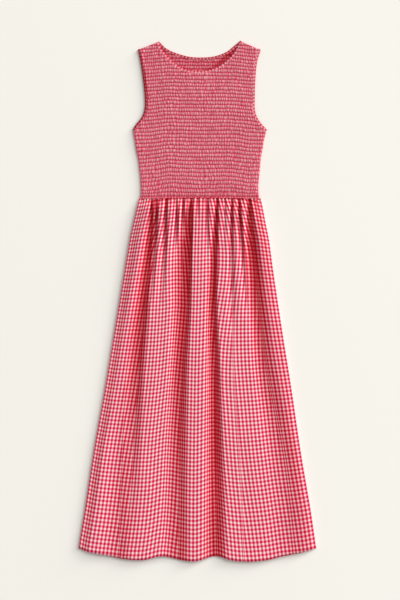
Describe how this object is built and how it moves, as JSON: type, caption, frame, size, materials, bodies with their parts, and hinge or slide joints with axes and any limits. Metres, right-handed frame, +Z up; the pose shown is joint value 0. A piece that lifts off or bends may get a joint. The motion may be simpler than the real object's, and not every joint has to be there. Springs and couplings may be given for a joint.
{
  "type": "smocked dress",
  "caption": "Sleeveless long dress laid flat, with a shirred bodice, a round neck and a gathered skirt in small gingham check.",
  "frame": {"origin": "middle of the dress's box, on the surface that it lies on", "axes": "+Y from the hem up to the neck, +Z up from the surface through the back and the front, +X to the right as seen from above"},
  "size_m": [0.569, 1.2498, 0.0133],
  "materials": {
    "skirt_gingham": "matt cotton gingham, red and white, 4.5 mm checks",
    "shirred_gingham": "matt cotton gingham gathered by rows of elastic thread",
    "binding_gingham": "matt cotton gingham, folded strip"
  },
  "bodies": {
    "root": {"back_skirt": "skirt_gingham", "front_skirt": "skirt_gingham", "back_bodice": "shirred_gingham", "front_bodice": "shirred_gingham", "neck_binding": "binding_gingham", "armhole_binding_left": "binding_gingham", "armhole_binding_right": "binding_gingham"}
  },
  "joints": []
}
